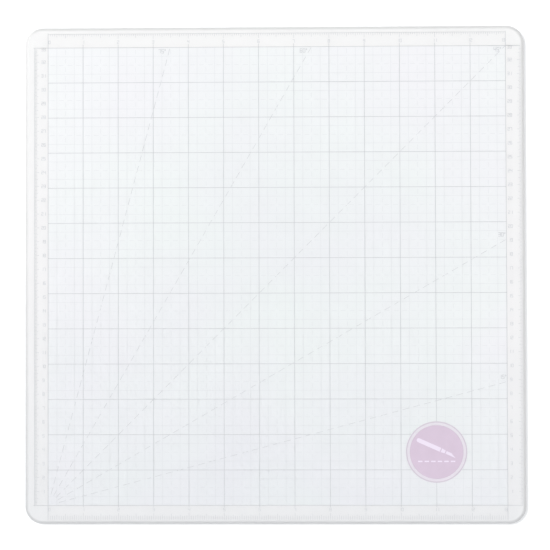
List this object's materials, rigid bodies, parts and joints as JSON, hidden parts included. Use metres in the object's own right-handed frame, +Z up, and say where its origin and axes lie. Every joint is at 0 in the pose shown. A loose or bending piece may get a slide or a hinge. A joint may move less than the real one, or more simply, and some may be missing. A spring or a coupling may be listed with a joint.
{
  "type": "self-healing cutting mat",
  "caption": "Thin square milky-translucent cutting mat with rounded corners, a pale grey inch grid, ruler strips, dashed angle lines and a round lilac badge.",
  "frame": {"origin": "centre of the underside, on the surface that the mat lies on", "axes": "+Z up out of the printed face, +X to the right and +Y to the far side of the print as it is read"},
  "size_m": [0.36, 0.358, 0.0031],
  "materials": {
    "upper_skin_vinyl": "milky translucent soft vinyl with a fine matte grain and a softened rim",
    "core_vinyl": "stiffer milky vinyl, seen only at the side wall",
    "lower_skin_vinyl": "milky translucent soft vinyl, grained on the underside for grip",
    "grey_ink": "thin screened ink, pale cool grey",
    "numeral_ink": "thin screened ink, slightly paler grey of the ruler numerals",
    "fine_grey_ink": "thin screened ink, paler grey of the finest lines",
    "lilac_ink": "solid screened ink, lilac",
    "ring_ink": "thin screened ink, grey lilac",
    "pale_ink": "pale ink printed over the lilac"
  },
  "bodies": {
    "root": {"bottom_skin": "lower_skin_vinyl", "core_sheet": "core_vinyl", "top_skin": "upper_skin_vinyl", "inch_grid_print": "grey_ink", "quarter_inch_print": "fine_grey_ink", "half_inch_print": "fine_grey_ink", "left_centimetre_ticks": "grey_ink", "right_centimetre_ticks": "grey_ink", "top_inch_ticks": "grey_ink", "bottom_inch_ticks": "grey_ink", "left_centimetre_numerals": "numeral_ink", "right_centimetre_numerals": "numeral_ink", "top_inch_numerals": "numeral_ink", "bottom_inch_numerals": "numeral_ink", "angle_line_15": "grey_ink", "angle_line_30": "grey_ink", "angle_line_45": "grey_ink", "angle_line_60": "grey_ink", "angle_line_75": "grey_ink", "angle_numerals": "grey_ink", "badge_disc": "lilac_ink", "badge_ring": "ring_ink", "badge_symbol": "pale_ink"}
  },
  "joints": []
}
